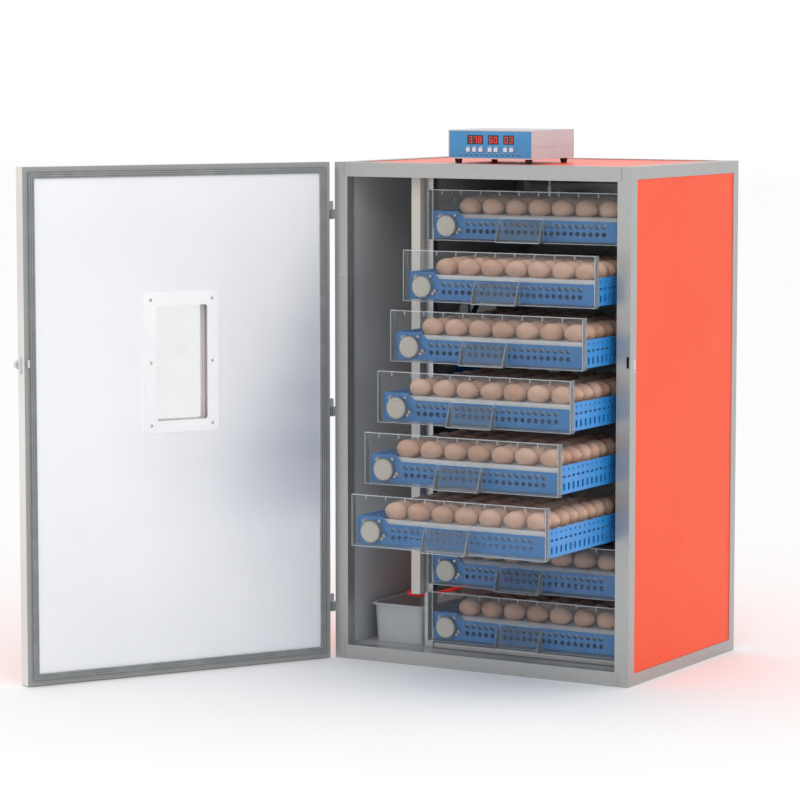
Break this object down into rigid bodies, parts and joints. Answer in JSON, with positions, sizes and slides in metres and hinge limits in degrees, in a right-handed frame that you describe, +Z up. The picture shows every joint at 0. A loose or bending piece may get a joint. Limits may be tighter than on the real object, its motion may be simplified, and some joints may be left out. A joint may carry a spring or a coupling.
{
  "type": "cabinet egg incubator",
  "caption": "Tall cabinet egg incubator with a hinged windowed door, sliding roller trays behind clear fronts, a fan duct, a water basin and a controller on top.",
  "frame": {"origin": "middle of the cabinet's base, on the floor", "axes": "+Z up, -Y out of the door side, +X to the right seen from the door side"},
  "size_m": [1.2031, 1.2358, 1.235],
  "materials": {
    "frame_profile": "satin",
    "orange_skin": "satin",
    "grey_skin": "satin",
    "door_skin": "satin",
    "gasket_rubber": "matte",
    "white_plastic": "satin",
    "window_glass": "gloss",
    "bright_metal": "gloss",
    "rack_steel": "satin",
    "duct_sheet": "satin",
    "fan_motor_black": "matte",
    "fan_blue": "gloss",
    "heater_glow": "satin",
    "basin_plastic": "satin",
    "probe_grey": "satin",
    "controller_shell": "satin",
    "controller_blue": "satin",
    "foot_rubber": "matte",
    "key_white": "satin",
    "tray_blue": "satin",
    "clear_acrylic": "gloss",
    "motor_can": "satin",
    "roller_white": "satin"
  },
  "bodies": {
    "cabinet": {"cabinet_frame": "frame_profile", "left_panel": "orange_skin", "right_panel": "orange_skin", "top_panel": "orange_skin", "bottom_panel": "grey_skin", "rear_panel": "orange_skin", "tray_rack": "rack_steel", "duct_partition": "duct_sheet", "fan_motor": "fan_motor_black", "heating_tube": "heater_glow", "sensor_probe": "probe_grey", "controller_case": "controller_shell", "controller_panel": "controller_blue", "controller_feet": "foot_rubber"},
    "door": {"door_leaf": "door_skin", "door_gasket": "gasket_rubber", "window_bezels": "white_plastic", "window_pane": "window_glass"},
    "latch": {"door_latch": "bright_metal"},
    "fan": {"fan_impeller": "fan_blue"},
    "basin": {"water_basin": "basin_plastic"},
    "tray_1": {"tray_1_basket": "tray_blue", "tray_1_front": "clear_acrylic", "tray_1_motor": "motor_can"},
    "rollers_1": {"tray_1_rollers": "roller_white"},
    "tray_2": {"tray_2_basket": "tray_blue", "tray_2_front": "clear_acrylic", "tray_2_motor": "motor_can"},
    "rollers_2": {"tray_2_rollers": "roller_white"},
    "tray_3": {"tray_3_basket": "tray_blue", "tray_3_front": "clear_acrylic", "tray_3_motor": "motor_can"},
    "rollers_3": {"tray_3_rollers": "roller_white"},
    "tray_4": {"tray_4_basket": "tray_blue", "tray_4_front": "clear_acrylic", "tray_4_motor": "motor_can"},
    "rollers_4": {"tray_4_rollers": "roller_white"},
    "tray_5": {"tray_5_basket": "tray_blue", "tray_5_front": "clear_acrylic", "tray_5_motor": "motor_can"},
    "rollers_5": {"tray_5_rollers": "roller_white"},
    "tray_6": {"tray_6_basket": "tray_blue", "tray_6_front": "clear_acrylic", "tray_6_motor": "motor_can"},
    "rollers_6": {"tray_6_rollers": "roller_white"},
    "tray_7": {"tray_7_basket": "tray_blue", "tray_7_front": "clear_acrylic", "tray_7_motor": "motor_can"},
    "rollers_7": {"tray_7_rollers": "roller_white"},
    "tray_8": {"tray_8_basket": "tray_blue", "tray_8_front": "clear_acrylic", "tray_8_motor": "motor_can"},
    "rollers_8": {"tray_8_rollers": "roller_white"},
    "key_1": {"button_1": "key_white"},
    "key_2": {"button_2": "key_white"},
    "key_3": {"button_3": "key_white"},
    "key_4": {"button_4": "key_white"},
    "key_5": {"button_5": "key_white"},
    "key_6": {"button_6": "key_white"},
    "key_7": {"button_7": "key_white"}
  },
  "joints": [
    {"name": "door_hinge", "type": "hinge", "parent": "cabinet", "child": "door", "pos_m": [-0.387, -0.288, 0.58], "axis": [0, 0, -1], "range_deg": [-120.4, 14.6]},
    {"name": "latch_turn", "type": "hinge", "parent": "door", "child": "latch", "pos_m": [-0.77163, -0.94754, 0.72], "axis": [-0.8625, 0.506, 0], "range_deg": [0, 90]},
    {"name": "fan_spin", "type": "hinge", "parent": "cabinet", "child": "fan", "pos_m": [-0.19, 0.03, 0.735], "axis": [1, 0, 0], "continuous": true},
    {"name": "basin_slide", "type": "slide", "parent": "cabinet", "child": "basin", "axis": [0, -1, 0], "range_m": [0, 0.25]},
    {"name": "tray_1_slide", "type": "slide", "parent": "cabinet", "child": "tray_1", "axis": [0, -1, 0], "range_m": [0, 0.34]},
    {"name": "rollers_1_travel", "type": "slide", "parent": "tray_1", "child": "rollers_1", "axis": [0, 1, 0], "range_m": [0, 0.02]},
    {"name": "tray_2_slide", "type": "slide", "parent": "cabinet", "child": "tray_2", "axis": [0, -1, 0], "range_m": [-0.1124, 0.01363]},
    {"name": "rollers_2_travel", "type": "slide", "parent": "tray_2", "child": "rollers_2", "axis": [0, 1, 0], "range_m": [0, 0.02]},
    {"name": "tray_3_slide", "type": "slide", "parent": "cabinet", "child": "tray_3", "axis": [0, -1, 0], "range_m": [-0.1686, 0.02045]},
    {"name": "rollers_3_travel", "type": "slide", "parent": "tray_3", "child": "rollers_3", "axis": [0, 1, 0], "range_m": [0, 0.02]},
    {"name": "tray_4_slide", "type": "slide", "parent": "cabinet", "child": "tray_4", "axis": [0, -1, 0], "range_m": [-0.2248, 0.02726]},
    {"name": "rollers_4_travel", "type": "slide", "parent": "tray_4", "child": "rollers_4", "axis": [0, 1, 0], "range_m": [0, 0.02]},
    {"name": "tray_5_slide", "type": "slide", "parent": "cabinet", "child": "tray_5", "axis": [0, -1, 0], "range_m": [-0.281, 0.03408]},
    {"name": "rollers_5_travel", "type": "slide", "parent": "tray_5", "child": "rollers_5", "axis": [0, 1, 0], "range_m": [0, 0.02]},
    {"name": "tray_6_slide", "type": "slide", "parent": "cabinet", "child": "tray_6", "axis": [0, -1, 0], "range_m": [-0.3372, 0.04089]},
    {"name": "rollers_6_travel", "type": "slide", "parent": "tray_6", "child": "rollers_6", "axis": [0, 1, 0], "range_m": [0, 0.02]},
    {"name": "tray_7_slide", "type": "slide", "parent": "cabinet", "child": "tray_7", "axis": [0, -1, 0], "range_m": [0, 0.34]},
    {"name": "rollers_7_travel", "type": "slide", "parent": "tray_7", "child": "rollers_7", "axis": [0, 1, 0], "range_m": [0, 0.02]},
    {"name": "tray_8_slide", "type": "slide", "parent": "cabinet", "child": "tray_8", "axis": [0, -1, 0], "range_m": [0, 0.34]},
    {"name": "rollers_8_travel", "type": "slide", "parent": "tray_8", "child": "rollers_8", "axis": [0, 1, 0], "range_m": [0, 0.02]},
    {"name": "button_1_press", "type": "slide", "parent": "cabinet", "child": "key_1", "axis": [0, 1, 0], "range_m": [0, 0.0012], "stiffness_N_per_m": 300},
    {"name": "button_2_press", "type": "slide", "parent": "cabinet", "child": "key_2", "axis": [0, 1, 0], "range_m": [0, 0.0012], "stiffness_N_per_m": 300},
    {"name": "button_3_press", "type": "slide", "parent": "cabinet", "child": "key_3", "axis": [0, 1, 0], "range_m": [0, 0.0012], "stiffness_N_per_m": 300},
    {"name": "button_4_press", "type": "slide", "parent": "cabinet", "child": "key_4", "axis": [0, 1, 0], "range_m": [0, 0.0012], "stiffness_N_per_m": 300},
    {"name": "button_5_press", "type": "slide", "parent": "cabinet", "child": "key_5", "axis": [0, 1, 0], "range_m": [0, 0.0012], "stiffness_N_per_m": 300},
    {"name": "button_6_press", "type": "slide", "parent": "cabinet", "child": "key_6", "axis": [0, 1, 0], "range_m": [0, 0.0012], "stiffness_N_per_m": 300},
    {"name": "button_7_press", "type": "slide", "parent": "cabinet", "child": "key_7", "axis": [0, 1, 0], "range_m": [0, 0.0012], "stiffness_N_per_m": 300}
  ],
  "couplings": [
    {"joint": "tray_2_slide", "follows": "door_hinge", "m_per_rad": 0.053489},
    {"joint": "tray_3_slide", "follows": "door_hinge", "m_per_rad": 0.080233},
    {"joint": "tray_4_slide", "follows": "door_hinge", "m_per_rad": 0.10698},
    {"joint": "tray_5_slide", "follows": "door_hinge", "m_per_rad": 0.13372},
    {"joint": "tray_6_slide", "follows": "door_hinge", "m_per_rad": 0.16047}
  ]
}
